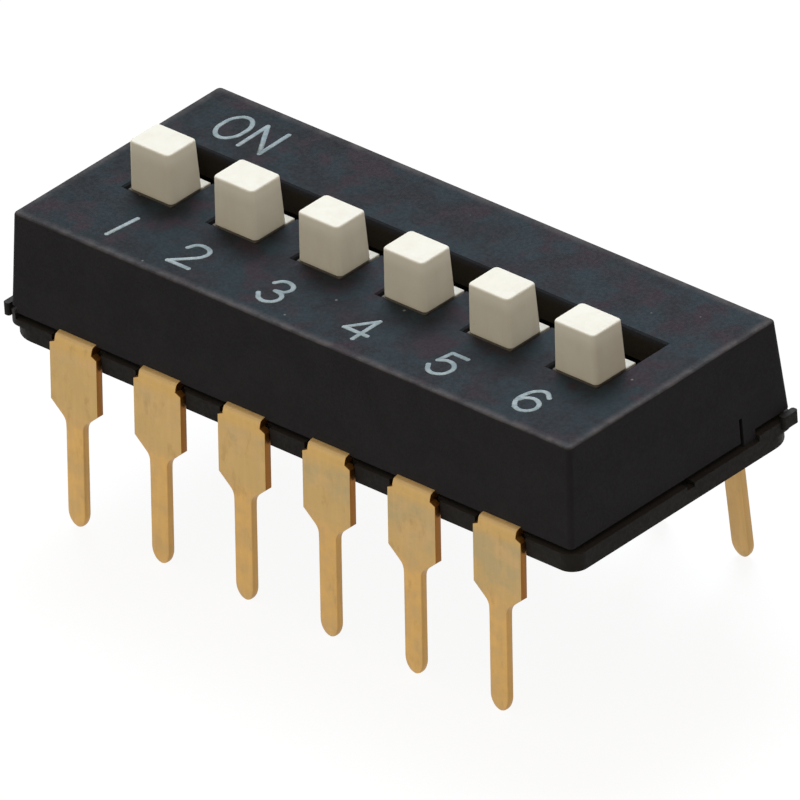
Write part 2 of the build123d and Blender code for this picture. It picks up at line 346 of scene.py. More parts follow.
def strip_stations():
    """Stations along the strip from pad to tip.

    Each is its place, run, half width, half thickness, edge rounding and extra on the outer face.
    """
    flat, down = Vector((0, 1, 0)), Vector((0, math.sin(SPLAY), -math.cos(SPLAY)))
    half = STRIP_THICKNESS / 2
    heel = STRIP_LEVEL + HEEL_LIFT
    corner = Vector((0, ROW_OFFSET - heel * math.tan(SPLAY), heel))
    turn = math.pi / 2 - SPLAY
    reach = BEND_RADIUS * math.tan(turn / 2)
    stations = []
    for y in (PAD_START, PAD_END):
        stations.append((Vector((0, y, STRIP_LEVEL)), flat, NECK_HALF, half, STAMPED_EDGE, 0))
    centre = corner - flat * reach - Vector((0, 0, BEND_RADIUS))
    for step in range(BEND_STEPS + 1):
        angle = turn * step / BEND_STEPS
        place = centre + Vector((0, math.sin(angle), math.cos(angle))) * BEND_RADIUS
        run = Vector((0, math.cos(angle), -math.sin(angle)))
        to_corner = (BEND_RADIUS + half) * (1 / math.cos(min(angle, turn - angle)) - 1)
        stations.append((place, run, NECK_HALF, half, STAMPED_EDGE, BEND_CRISPNESS * to_corner))
    foot = corner + down * reach
    levels = [SHOULDER_TOP, SHOULDER_TOP - 2 * STAMPED_EDGE]
    levels += [SHOULDER_FOOT + STAMPED_EDGE, SHOULDER_FOOT]
    taper = TAPER_FOOT - TAPER_FILLET / 2 - SHOULDER_FOOT
    levels += [SHOULDER_FOOT + taper * step / TAPER_STEPS for step in range(1, TAPER_STEPS + 1)]
    levels += [TAPER_FOOT - TAPER_FILLET, (TAPER_FOOT + TIP_START) / 2, TIP_START]
    tip_angles = [math.pi / 2 * step / TIP_STEPS for step in range(1, TIP_STEPS)]
    levels += [TIP_START + (TIP_END - TIP_START) * math.sin(angle) for angle in tip_angles]
    coining = SHOULDER_FOOT - TAPER_FOOT + TAPER_FILLET
    for level in levels:
        place = foot + down * ((foot.z - level) / math.cos(SPLAY))
        coined = min(1, max(0, (SHOULDER_FOOT - level) / coining))
        end = max(0, (TIP_START - level) / (TIP_START - TIP_END))
        thin = half * (TIP_THICKNESS_SHARE + (1 - TIP_THICKNESS_SHARE) * math.sqrt(1 - end ** 2))
        edge = STAMPED_EDGE + (COINED_EDGE - STAMPED_EDGE) * coined
        stations.append((place, down, blade_half_width(level), thin, edge, 0))
    return stations


def shape_section(verts, station):
    """Sets the loop of a cap to the rounded rectangle of its station."""
    place, run, half_width, half_thick, edge, extra = station
    across, out = Vector((1, 0, 0)), Vector((1, 0, 0)).cross(run)
    edge = min(edge, EDGE_SHARE * half_width, EDGE_SHARE * half_thick)
    steps = len(verts) // 4
    for index, vert in enumerate(verts):
        quarter, step = divmod(index, steps)
        angle = math.pi / 2 * (quarter + step / (steps - 1))
        side = 1 if quarter in (0, 3) else -1
        face = 1 if quarter in (0, 1) else -1
        x = side * (half_width - edge) + edge * math.cos(angle)
        y = face * (half_thick - edge) + edge * math.sin(angle) + (extra if face == 1 else 0)
        vert.co = place + across * x + out * y


def model_terminal():
    """One back-row terminal at X zero: the cap of a strip drawn out along its stations."""
    stations = strip_stations()
    bpy.ops.object.select_all(action="DESELECT")
    bpy.ops.mesh.primitive_circle_add(vertices=SECTION_POINTS, radius=NECK_HALF, fill_type="NGON")
    terminal = bpy.context.object
    terminal.name = "terminal"
    bpy.ops.object.mode_set(mode="EDIT")
    bpy.ops.mesh.select_mode(type="FACE")
    for number, station in enumerate(stations):
        if number:
            bpy.ops.mesh.extrude_region_move()
        mesh = bmesh.from_edit_mesh(terminal.data)
        cap = next(face for face in mesh.faces if face.select)
        shape_section([loop.vert for loop in cap.loops], station)
        bmesh.update_edit_mesh(terminal.data)
    bpy.ops.mesh.select_all(action="SELECT")
    bpy.ops.mesh.normals_make_consistent(inside=False)
    bpy.ops.object.mode_set(mode="OBJECT")
    select_only(terminal)
    bpy.ops.object.shade_smooth()
    even = terminal.modifiers.new("flat faces", "WEIGHTED_NORMAL")
    even.keep_sharp = True
    bpy.ops.object.modifier_apply(modifier=even.name)
    return terminal


def place_terminals(material):
    """Twelve copies of the terminal, the front row turned round, each in place of its CAD node."""
    pattern = model_terminal()
    pattern.data.materials.append(material)
    for row, turn in (("back", 0), ("front", math.pi)):
        for number in range(1, POSITIONS + 1):
            name = f"terminal_{row}_{number}"
            piece = copy_to_node(pattern, name, f"gold_{name}", turn)
            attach(piece, "housing")
            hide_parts(f"terminal_{row}_{number}")
    bpy.data.objects.remove(pattern)


# Legend

# Strokes of each figure as (shape, points), in letter heights from the middle of its cell
FIGURES = {
    "1": [("straight", [(-0.06, -0.5), (0.05, 0.5)])],
    "2": [
        ("round", [
            (-0.33, 0.24), (-0.22, 0.45), (0.03, 0.51),
            (0.28, 0.38), (0.28, 0.14), (0.05, -0.14),
        ]),
        ("straight", [(0.05, -0.14), (-0.34, -0.5)]),
        ("straight", [(-0.34, -0.5), (0.36, -0.5)]),
    ],
    "3": [
        ("round", [
            (-0.31, 0.30), (-0.17, 0.47), (0.05, 0.50),
            (0.26, 0.35), (0.22, 0.13), (-0.04, 0.03),
        ]),
        ("round", [
            (-0.04, 0.03), (0.25, -0.05), (0.32, -0.25),
            (0.15, -0.47), (-0.12, -0.48), (-0.33, -0.28),
        ]),
    ],
    "4": [
        ("straight", [(0.19, -0.5), (0.19, 0.5)]),
        ("straight", [(0.19, 0.5), (-0.36, -0.20)]),
        ("straight", [(-0.36, -0.20), (0.40, -0.20)]),
    ],
    "5": [
        ("straight", [(0.29, 0.48), (-0.21, 0.48)]),
        ("straight", [(-0.21, 0.48), (-0.29, 0.03)]),
        ("round", [
            (-0.29, 0.03), (-0.02, 0.15), (0.26, 0.02), (0.31, -0.24),
            (0.11, -0.48), (-0.15, -0.48), (-0.35, -0.26),
        ]),
    ],
    "6": [
        ("round", [
            (0.28, 0.34), (0.04, 0.50), (-0.20, 0.39),
            (-0.33, 0.08), (-0.33, -0.20), (-0.17, -0.45),
        ]),
        ("round", [
            (-0.17, -0.45), (0.05, -0.50), (0.29, -0.34), (0.32, -0.12),
            (0.11, 0.08), (-0.17, 0.04), (-0.33, -0.20),
        ]),
    ],
    "O": [
        ("loop", [
            (-0.33, 0), (-0.23, 0.37), (0, 0.5), (0.23, 0.37),
            (0.33, 0), (0.23, -0.37), (0, -0.5), (-0.23, -0.37),
        ]),
    ],
    "N": [
        ("straight", [(-0.31, -0.5), (-0.33, 0.5)]),
        ("straight", [(-0.33, 0.5), (0.33, -0.5)]),
        ("straight", [(0.33, -0.5), (0.31, 0.5)]),
    ],
}


def draw_stroke(shape, points, middle, height):
    """One printed stroke as a round bar along its line, with round ends."""
    curve = bpy.data.curves.new("stroke", "CURVE")
    curve.dimensions = "3D"
    curve.bevel_depth = STROKE / 2
    curve.bevel_resolution = STROKE_ROUND_STEPS
    curve.use_fill_caps = True
    curve.resolution_u = STROKE_LINE_STEPS
    line = curve.splines.new("BEZIER")
    line.bezier_points.add(len(points) - 1)
    line.use_cyclic_u = shape == "loop"
    handles = "VECTOR" if shape == "straight" else "AUTO"
    for point, (x, y) in zip(line.bezier_points, points):
        point.co = middle + Vector((x, y, 0)) * height
        point.handle_left_type = point.handle_right_type = handles
    stroke = bpy.data.objects.new("stroke", curve)
    bpy.context.collection.objects.link(stroke)
    select_only(stroke)
    bpy.ops.object.convert(target="MESH")
    bars = [bpy.context.object]
    for x, y in () if shape == "loop" else (points[0], points[-1]):
        end = middle + Vector((x, y, 0)) * height
        bpy.ops.object.select_all(action="DESELECT")
        bpy.ops.mesh.primitive_uv_sphere_add(
            segments=STROKE_END_SEGMENTS,
            ring_count=STROKE_END_RINGS,
            radius=STROKE / 2,
            location=end,
        )
        bars.append(bpy.context.object)
    return bars


def print_figure(name, figure, x, y, height, ink):
    """One printed figure: its strokes joined, pressed flat and laid on the cover's top face."""
    bars = []
    for shape, points in FIGURES[figure]:
        bars += draw_stroke(shape, points, Vector((x, y, 0)), height)
    bpy.ops.object.select_all(action="DESELECT")
    for bar in bars:
        bar.select_set(True)
    bpy.context.view_layer.objects.active = bars[0]
    if len(bars) > 1:
        bpy.ops.object.join()
    piece = bpy.context.object
    piece.name = name
    select_only(piece)
    bpy.ops.object.transform_apply(location=True, rotation=True, scale=True)
    piece.scale.z = 2 * INK_RISE / STROKE
    piece.location.z = COVER_TOP
    bpy.ops.object.transform_apply(location=True, rotation=True, scale=True)
    close_mesh(piece)
    bpy.ops.object.shade_smooth()
    piece.data.materials.clear()
    piece.data.materials.append(ink)
    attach(piece, "housing")


def print_legend(ink):
    """ON at the back left of the cover, and a number in front of each knob."""
    print_figure("legend_O", "O", O_MIDDLE_X, ON_MIDDLE_Y, ON_HEIGHT, ink)
    print_figure("legend_N", "N", N_MIDDLE_X, ON_MIDDLE_Y, ON_HEIGHT, ink)
    for number in range(1, POSITIONS + 1):
        low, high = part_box(f"slider_{number}")
        x = (low.x + high.x) / 2 + DIGIT_SHIFT
        if number == 1:
            x += ONE_SHIFT
        print_figure(f"legend_{number}", str(number), x, DIGIT_MIDDLE_Y, DIGIT_HEIGHT, ink)


# Material helpers

# Colour sockets of a Mix node
MIX_FIRST = 6
MIX_SECOND = 7
MIX_RESULT = 2


def add(tree, kind, inputs=None, **settings):
    """Adds a node, and sets its settings and the inputs that are given by name."""
    node = tree.nodes.new(kind)
    for name, value in settings.items():
        setattr(node, name, value)
    for name, value in (inputs or {}).items():
        node.inputs[name].default_value = value
    return node


def start_material(name):
    """A material with a Principled shader, and Object coordinates in millimetres."""
    material = bpy.data.materials.new(name)
    material.use_nodes = True
    tree = material.node_tree
    shader = tree.nodes["Principled BSDF"]
    coords = add(tree, "ShaderNodeTexCoord")
    scale = add(tree, "ShaderNodeMapping", {"Scale": (1 / MM, 1 / MM, 1 / MM)})
    tree.links.new(coords.outputs["Object"], scale.inputs["Vector"])
    return material, tree, shader, scale.outputs["Vector"], coords.outputs["Normal"]


def noise(tree, vector, scale, detail=3.0, roughness=0.5, stretch=None):
    """A noise value over the surface, stretched along the axes if asked."""
    if stretch:
        squeeze = add(tree, "ShaderNodeMapping", {"Scale": stretch})
        tree.links.new(vector, squeeze.inputs["Vector"])
        vector = squeeze.outputs["Vector"]
    pattern = {"Scale": scale, "Detail": detail, "Roughness": roughness}
    node = add(tree, "ShaderNodeTexNoise", pattern)
    tree.links.new(vector, node.inputs["Vector"])
    return node.outputs["Fac"]


def ramp(tree, value, low, high, to_low=0.0, to_high=1.0):
    """A value eased from one range to another."""
    limits = {"From Min": low, "From Max": high, "To Min": to_low, "To Max": to_high}
    node = add(tree, "ShaderNodeMapRange", limits, interpolation_type="SMOOTHSTEP")
    tree.links.new(value, node.inputs["Value"])
    return node.outputs["Result"]


def maths(tree, operation, first, second):
    """Two values, or a value and a number, put together."""
    node = add(tree, "ShaderNodeMath", operation=operation)
    for socket, value in zip(node.inputs, (first, second)):
        if isinstance(value, (int, float)):
            socket.default_value = value
        else:
            tree.links.new(value, socket)
    return node.outputs["Value"]


def blend(tree, mask, first, second):
    """Two colours mixed by a mask; each is a colour or a socket."""
    node = add(tree, "ShaderNodeMix", data_type="RGBA")
    tree.links.new(mask, node.inputs["Factor"])
    for socket, value in ((node.inputs[MIX_FIRST], first), (node.inputs[MIX_SECOND], second)):
        if isinstance(value, tuple):
            socket.default_value = value
        else:
            tree.links.new(value, socket)
    return node.outputs[MIX_RESULT]


def bump(tree, shader, height, strength, distance):
    """Lets a height value shape the shader's normal."""
    node = add(tree, "ShaderNodeBump", {"Strength": strength, "Distance": distance})
    tree.links.new(height, node.inputs["Height"])
    tree.links.new(node.outputs["Normal"], shader.inputs["Normal"])


def component(tree, vector, axis):
    """One axis of a vector as a value."""
    node = add(tree, "ShaderNodeSeparateXYZ")
    tree.links.new(vector, node.inputs["Vector"])
    return node.outputs[axis]


def unsigned(tree, vector, axis):
    """One axis of a vector as a value without its sign."""
    return maths(tree, "ABSOLUTE", component(tree, vector, axis), 0)


def fade(tree, value, low, high):
    """A mask that is one below a range of the value, and zero above it."""
    return ramp(tree, value, low, high, 1.0, 0.0)


def both(tree, first, second):
    """A mask that is one where two masks are one."""
    return maths(tree, "MULTIPLY", first, second)


def finish_moulding(tree, shader, colour, grain, roughness, specular, relief):
    """Gives a plastic or ink its colour, grainy roughness, specular level and fine relief."""
    tree.links.new(colour, shader.inputs["Base Color"])
    tree.links.new(ramp(tree, grain, *GRAIN_RANGE, *roughness), shader.inputs["Roughness"])
    shader.inputs["Specular IOR Level"].default_value = specular
    bump(tree, shader, grain, *relief)


def place_group(tree, group, vector, **values):
    """A shared effect placed in a material with its own values."""
    node = add(tree, "ShaderNodeGroup", node_tree=group)
    tree.links.new(vector, node.inputs["Vector"])
    for name, value in values.items():
        node.inputs[name].default_value = value
    return node


def start_group(name, inputs, outputs):
    """An empty node group with a vector, named values and named outputs."""
    group = bpy.data.node_groups.new(name, "ShaderNodeTree")
    group.interface.new_socket("Vector", in_out="INPUT", socket_type="NodeSocketVector")
    for socket in inputs:
        group.interface.new_socket(socket, in_out="INPUT", socket_type="NodeSocketFloat")
    for socket in outputs:
        group.interface.new_socket(socket, in_out="OUTPUT", socket_type="NodeSocketFloat")
    return group, group.nodes.new("NodeGroupInput"), group.nodes.new("NodeGroupOutput")


def moulded_skin_group():
    """Cloudy colour variation and a fine grain, as moulded plastic has."""
    sizes, masks = ["Cloud Size", "Grain Size"], ["Cloud", "Grain"]
    group, given, made = start_group("moulded skin", sizes, masks)
    cloud = add(group, "ShaderNodeTexNoise", {"Detail": 4.0, "Roughness": 0.6})
    grain = add(group, "ShaderNodeTexNoise", {"Detail": 2.0, "Roughness": 0.65})
    for node, size in ((cloud, "Cloud Size"), (grain, "Grain Size")):
        group.links.new(maths(group, "DIVIDE", 1, given.outputs[size]), node.inputs["Scale"])
        group.links.new(given.outputs["Vector"], node.inputs["Vector"])
    group.links.new(cloud.outputs["Fac"], made.inputs["Cloud"])
    group.links.new(grain.outputs["Fac"], made.inputs["Grain"])
    return group


def dust_group():
    """Sparse pale specks of dust."""
    group, given, made = start_group("dust specks", ["Spacing", "Speck Size"], ["Mask"])
    cells = add(group, "ShaderNodeTexVoronoi", feature="F1")
    group.links.new(maths(group, "DIVIDE", 1, given.outputs["Spacing"]), cells.inputs["Scale"])
    group.links.new(given.outputs["Vector"], cells.inputs["Vector"])
    chance = add(group, "ShaderNodeSeparateColor")
    group.links.new(cells.outputs["Color"], chance.inputs["Color"])
    kept = ramp(group, chance.outputs[0], low=0.55, high=0.95)
    reach = maths(group, "MULTIPLY", kept, given.outputs["Speck Size"])
    inside = maths(group, "SUBTRACT", reach, cells.outputs["Distance"])
    group.links.new(ramp(group, inside, low=0.0, high=0.04), made.inputs["Mask"])
    return group


# Materials

# Colours are single tones or pairs to mix; places are millimetres where a change starts and ends
GRAIN_RANGE = 0.3, 0.7

COVER_WALL = (0.0290, 0.0285, 0.0325, 1), (0.0335, 0.0332, 0.0378, 1)
# Top tones: a painted bluish sheen, dimmer at one end and paler at the other as painted light
COVER_TOP_SHADED_END = (0.0148, 0.0162, 0.0193, 1), (0.0168, 0.0271, 0.0331, 1)
COVER_TOP_LIT_END = (0.0189, 0.0194, 0.0234, 1), (0.0215, 0.0325, 0.0401, 1)
COVER_TOP_TINT = (0.0290, 0.0215, 0.0280, 1)
# Partly wear and partly painted highlight along the top's edges
COVER_RUBBED_EDGE_AND_HIGHLIGHT = (0.082, 0.075, 0.077, 1)
# Painted shade for the walls of the cover's opening
COVER_SLOT_SHADE = (0.025, 0.0193, 0.0137, 1)
COVER_DUST = (0.30, 0.29, 0.27, 1)
COVER_ROUGHNESS = 0.50, 0.66
COVER_SPECULAR = 0.05
COVER_RELIEF = 0.22, 0.012 * MM
TOP_LIGHT_DRIFT_X = -8.0, 4.0
COVER_RUBBED_AND_LIT_BORDER = 0.07, 0.27
SLOT_SHADE_DROP = 0.25, 0.05
SLOT_END_X = 7.2, 7.3
SLOT_SIDE_Y = 1.4, 1.6


def inside_slot(tree, vector):
    """One on the walls of the cover's opening, below its upper edge, where painted shade goes."""
    lowest, highest = (COVER_TOP / MM - drop for drop in SLOT_SHADE_DROP)
    deep = fade(tree, component(tree, vector, "Z"), lowest, highest)
    along = fade(tree, unsigned(tree, vector, "X"), *SLOT_END_X)
    across = fade(tree, unsigned(tree, vector, "Y"), *SLOT_SIDE_Y)
    return both(tree, deep, both(tree, along, across))


def crown_edge(tree, vector, up):
    """One along the border of the cover's top face and on its rounded edge, fading inwards: where
    wear and a painted highlight go.
    """
    from_end = maths(tree, "SUBTRACT", CROWN_HALF_LENGTH / MM, unsigned(tree, vector, "X"))
    from_side = maths(tree, "SUBTRACT", CROWN_HALF_WIDTH / MM, unsigned(tree, vector, "Y"))
    border = fade(tree, maths(tree, "MINIMUM", from_end, from_side), *COVER_RUBBED_AND_LIT_BORDER)
    return both(tree, border, ramp(tree, up, low=0.25, high=0.7))


def cover_plastic(skin, dust):
    """Black matte moulding: cloudy top with a painted bluish sheen and painted light towards one
    end, plainer walls, rubbed edges with a painted highlight, painted shade in the slot, dust.
    """
    material, tree, shader, vector, normal = start_material("cover plastic")
    surface = place_group(tree, skin, vector, **{"Cloud Size": 0.9, "Grain Size": 0.07})
    cloud = ramp(tree, surface.outputs["Cloud"], low=0.36, high=0.64)
    up = component(tree, normal, "Z")
    wall = blend(tree, cloud, *COVER_WALL)
    # Painted light: the top is painted bluer than the walls as a sheen, and paler towards +X.
    shaded_end = blend(tree, cloud, *COVER_TOP_SHADED_END)
    lit_end = blend(tree, cloud, *COVER_TOP_LIT_END)
    top = blend(tree, ramp(tree, component(tree, vector, "X"), *TOP_LIGHT_DRIFT_X), shaded_end, lit_end)
    tint = ramp(tree, noise(tree, vector, scale=1.3), low=0.50, high=0.66)
    top = blend(tree, tint, top, COVER_TOP_TINT)
    # The top's own tone, with its painted sheen, takes over where the face turns upward.
    colour = blend(tree, ramp(tree, up, low=0.5, high=0.95), wall, top)
    wear = noise(tree, vector, scale=2.2, detail=4.0, roughness=0.6)
    worn = ramp(tree, wear, low=0.35, high=0.65, to_low=0.35)
    # Partly wear, partly painted highlight: a paler line along the top's rounded edge.
    colour = blend(tree, both(tree, crown_edge(tree, vector, up), worn), colour, COVER_RUBBED_EDGE_AND_HIGHLIGHT)
    # Painted shade: the walls of the opening are painted dark below its upper edge.
    colour = blend(tree, inside_slot(tree, vector), colour, COVER_SLOT_SHADE)
    specks = place_group(tree, dust, vector, **{"Spacing": 0.5, "Speck Size": 0.09})
    lying = ramp(tree, up, low=0.9, high=0.99, to_high=0.5)
    colour = blend(tree, both(tree, specks.outputs["Mask"], lying), colour, COVER_DUST)
    grain = surface.outputs["Grain"]
    finish_moulding(tree, shader, colour, grain, COVER_ROUGHNESS, COVER_SPECULAR, COVER_RELIEF)
    return material


BASE_BODY = (0.0195, 0.0178, 0.0165, 1), (0.0305, 0.0285, 0.0265, 1)
# Painted light on up-facing faces, such as the ledge in the gap under the cover
BASE_LEDGE_PAINTED_LIGHT = (0.034, 0.0305, 0.0275, 1)
# Painted shade where the base lies inside the cover
BASE_INSIDE_SHADE = (0.013, 0.0105, 0.0078, 1)
BASE_INSIDE_Z = 1.92, 2.1
BASE_ROUGHNESS = 0.45, 0.62
BASE_SPECULAR = 0.07
BASE_RELIEF = 0.35, 0.02 * MM


def base_plastic(skin):
    """The base's black moulding, a little browner and glossier than the cover, with painted light
    on its ledges and painted shade inside the cover.
    """
    material, tree, shader, vector, normal = start_material("base plastic")
    surface = place_group(tree, skin, vector, **{"Cloud Size": 0.9, "Grain Size": 0.10})
    cloud = ramp(tree, surface.outputs["Cloud"], low=0.3, high=0.7)
    colour = blend(tree, cloud, *BASE_BODY)
    # Painted light: up-facing faces are painted paler to lift the shaded gap under the cover.
    ledge = ramp(tree, component(tree, normal, "Z"), low=0.3, high=0.9, to_high=0.75)
    colour = blend(tree, ledge, colour, BASE_LEDGE_PAINTED_LIGHT)
    # Painted shade: the base is painted darker high up, inside the cover.
    enclosed = ramp(tree, component(tree, vector, "Z"), *BASE_INSIDE_Z)
    colour = blend(tree, enclosed, colour, BASE_INSIDE_SHADE)
    grain = surface.outputs["Grain"]
    finish_moulding(tree, shader, colour, grain, BASE_ROUGHNESS, BASE_SPECULAR, BASE_RELIEF)
    return material


IVORY = (0.85, 0.825, 0.725, 1), (0.885, 0.87, 0.78, 1)
IVORY_STREAK = (0.78, 0.74, 0.64, 1)
# Painted highlight along the knob's upper edges
IVORY_CROWN_HIGHLIGHT = (0.99, 0.975, 0.89, 1)
IVORY_SPECK = (0.45, 0.41, 0.34, 1)
IVORY_SPECK_SHARE = 0.25
# Painted shade where a knob meets its collar
IVORY_PAINTED_SHADE = (0.08, 0.07, 0.055, 1)
IVORY_ROUGHNESS = 0.42, 0.58
IVORY_SPECULAR = 0.25
IVORY_RELIEF = 0.12, 0.01 * MM
IVORY_HIGHLIGHT_DROP = 0.45, 0.02
SHADE_TOP_RISE = 0.004, 0.015
SHADE_FOOT_DROP = 0.10, 0.06
SHADE_THINNING = 0.15
SHADE_BEHIND_KNOB = 0.35


def collar_grime(tree, vector):
    """Painted shade on the upper edge of a slider's collar: full beside the knob, weaker behind it.
    """
    collar_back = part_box("slider_1")[1].y
    knob_back = (collar_back - COLLAR_LENGTH + KNOB_STEP + KNOB_FOOT_DEPTH) / MM
    ledge = (COVER_TOP - COLLAR_SINK) / MM
    depth, height = component(tree, vector, "Y"), component(tree, vector, "Z")
    beside = ramp(tree, depth, knob_back - SHADE_THINNING, knob_back, 1.0, SHADE_BEHIND_KNOB)
    below = fade(tree, height, *(ledge + rise for rise in SHADE_TOP_RISE))
    above = ramp(tree, height, *(ledge - drop for drop in SHADE_FOOT_DROP))
    return both(tree, beside, both(tree, below, above))


def knob_plastic(skin, dust):
    """Ivory moulding with faint clouds, handling marks, a painted highlight along the upper edges,
    painted shade round the foot and a satin skin.
    """
    material, tree, shader, vector, normal = start_material("knob plastic")
    surface = place_group(tree, skin, vector, **{"Cloud Size": 0.8, "Grain Size": 0.09})
    cloud = ramp(tree, surface.outputs["Cloud"], low=0.3, high=0.7)
    colour = blend(tree, cloud, *IVORY)
    handled = noise(tree, vector, scale=3.0, stretch=(1, 1, 0.25))
    streak = ramp(tree, handled, low=0.45, high=0.75, to_high=0.35)
    colour = blend(tree, streak, colour, IVORY_STREAK)
    knob_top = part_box("slider_1")[1].z / MM
    highlight_z = (knob_top - drop for drop in IVORY_HIGHLIGHT_DROP)
    # Painted highlight: the sides are painted paler just below the crown.
    near_top = ramp(tree, component(tree, vector, "Z"), *highlight_z)
    sideways = fade(tree, component(tree, normal, "Z"), low=0.2, high=0.6)
    colour = blend(tree, both(tree, near_top, sideways), colour, IVORY_CROWN_HIGHLIGHT)
    specks = place_group(tree, dust, vector, **{"Spacing": 0.7, "Speck Size": 0.08})
    speckled = maths(tree, "MULTIPLY", specks.outputs["Mask"], IVORY_SPECK_SHARE)
    colour = blend(tree, speckled, colour, IVORY_SPECK)
    # Painted shade on the collar's ledge round the knob's foot.
    colour = blend(tree, collar_grime(tree, vector), colour, IVORY_PAINTED_SHADE)
    grain = surface.outputs["Grain"]
    finish_moulding(tree, shader, colour, grain, IVORY_ROUGHNESS, IVORY_SPECULAR, IVORY_RELIEF)
    return material


GOLD_BLADE = (0.56, 0.370, 0.142, 1), (0.47, 0.345, 0.165, 1)
GOLD_BLUSH = (0.62, 0.39, 0.165, 1)
GOLD_PIN = (0.67, 0.40, 0.130, 1), (0.58, 0.365, 0.140, 1)
GOLD_NECK = (0.60, 0.375, 0.125, 1)
GOLD_ROLLED = (0.60, 0.45, 0.22, 1)
GOLD_STAIN = (0.40, 0.25, 0.085, 1)
# Partly cut metal, partly painted shade, on the sheared edges and steps
GOLD_SHEARED_AND_SHADED = (0.28, 0.112, 0.018, 1)
# Partly cut metal, partly painted shade, on the pin sides
GOLD_PIN_SIDE_SHEARED_AND_SHADED = (0.36, 0.19, 0.055, 1)
# Painted shade on the back row of terminals
GOLD_BACK_ROW_SHADE = (0.45, 0.285, 0.115, 1)
# Painted highlight on the top of the bend
GOLD_BEND_HIGHLIGHT = (0.80, 0.54, 0.225, 1)
GOLD_ROUGHNESS = 0.36, 0.50
GOLD_RELIEF = 0.08, 0.01 * MM
GREYED_SHADE_X = -1.0, 6.0
GREYED_Z = 0.2, 1.2
BLADE_START_Z = -0.30, 0.25
SHEARED_START_Z = -0.25, 0.02
NECK_START_Z = 1.38, 1.62
BEND_START_Z = 1.70, 1.76
BACK_ROW_Y = 2.0, 3.0


def blade_gold(tree, vector, clouds, height):
    """The blades' face: greyer smears towards the top, more of them towards the last position as
    painted shade, and a warm blush.
    """
    # Painted shade: the blades turn greyer towards the last position.
    along = ramp(tree, component(tree, vector, "X"), *GREYED_SHADE_X, to_low=-0.16, to_high=0.10)
    upwards = ramp(tree, height, *GREYED_Z, to_low=-0.14, to_high=0.10)
    greyed = maths(tree, "ADD", along, upwards)
    smear = ramp(tree, maths(tree, "ADD", clouds, greyed), low=0.34, high=0.68)
    flush = noise(tree, vector, scale=1.2, detail=4.0, roughness=0.6, stretch=(1.0, 1.0, 1.6))
    blush = ramp(tree, flush, low=0.42, high=0.70, to_high=0.6)
    return blend(tree, blush, blend(tree, smear, *GOLD_BLADE), GOLD_BLUSH)


def worked_edges(tree, normal, height, colour):
    """The same gold with brown sheared edges on the blades, and browner sides on the pins, both
    partly the cut metal and partly painted shade.
    """
    across = unsigned(tree, normal, "X")
    cut_side = ramp(tree, across, low=0.6, high=0.85)
    sheared = both(tree, cut_side, ramp(tree, height, *SHEARED_START_Z))
    # Partly cut metal, partly painted shade: the blades' sideways edges are painted brown.
    colour = blend(tree, sheared, colour, GOLD_SHEARED_AND_SHADED)
    # Partly cut metal, partly painted shade: the pins' sides are painted browner.
    pin_side = ramp(tree, across, low=0.3, high=0.9, to_high=0.55)
    turned = both(tree, pin_side, fade(tree, height, *SHEARED_START_Z))
    return blend(tree, turned, colour, GOLD_PIN_SIDE_SHEARED_AND_SHADED)


def bend_and_steps(tree, height, up, colour):
    """The same gold with a painted highlight on the bend, and steps below it where the shoulder
    widens painted dark, partly cut metal and partly painted shade.
    """
    # Painted highlight: the up-facing top of the bend is painted bright.
    bent = ramp(tree, up, low=0.2, high=0.8, to_high=0.8)
    bend = both(tree, bent, ramp(tree, height, *BEND_START_Z))
    colour = blend(tree, bend, colour, GOLD_BEND_HIGHLIGHT)
    # Partly cut metal, partly painted shade: the up-facing steps below the bend are painted dark.
    stepped = ramp(tree, up, low=0.25, high=0.6)
    step = both(tree, stepped, fade(tree, height, *BEND_START_Z))
    return blend(tree, step, colour, GOLD_SHEARED_AND_SHADED)


def gold_plate(skin):
    """Satin gold strip: greyer smeared blades, greyer still towards the last position as painted
    shade, warmer pins and necks, brown sheared edges that are partly painted shade, a painted
    highlight on the bend and painted shade on the back row.
    """
    material, tree, shader, vector, normal = start_material("gold plate")
    surface = place_group(tree, skin, vector, **{"Cloud Size": 0.5, "Grain Size": 0.05})
    clouds = surface.outputs["Cloud"]
    height, up = component(tree, vector, "Z"), component(tree, normal, "Z")
    blade = blade_gold(tree, vector, clouds, height)
    pin = blend(tree, ramp(tree, clouds, low=0.36, high=0.66), *GOLD_PIN)
    colour = blend(tree, ramp(tree, height, *BLADE_START_Z), pin, blade)
    colour = blend(tree, ramp(tree, height, *NECK_START_Z, to_high=0.8), colour, GOLD_NECK)
    rolled = noise(tree, vector, scale=7.0, roughness=0.6, stretch=(1.5, 1.5, 0.12))
    colour = blend(tree, ramp(tree, rolled, low=0.52, high=0.76, to_high=0.35), colour, GOLD_ROLLED)
    stain = noise(tree, vector, scale=3.2, detail=4.0, roughness=0.65, stretch=(1.0, 1.0, 0.45))
    colour = blend(tree, ramp(tree, stain, low=0.54, high=0.74, to_high=0.5), colour, GOLD_STAIN)
    colour = worked_edges(tree, normal, height, colour)
    # Painted shade: the back row of terminals is painted darker.
    far_row_shade = ramp(tree, component(tree, vector, "Y"), *BACK_ROW_Y, to_high=0.6)
    colour = blend(tree, far_row_shade, colour, GOLD_BACK_ROW_SHADE)
    colour = bend_and_steps(tree, height, up, colour)
    tree.links.new(colour, shader.inputs["Base Color"])
    tree.links.new(ramp(tree, rolled, *GRAIN_RANGE, *GOLD_ROUGHNESS), shader.inputs["Roughness"])
    # Up-facing faces are made less metallic so they take diffuse light, brightening the bend.
    metal_share = ramp(tree, up, low=0.25, high=0.75, to_low=0.9, to_high=0.3)
    tree.links.new(metal_share, shader.inputs["Metallic"])
    bump(tree, shader, rolled, *GOLD_RELIEF)
    return material


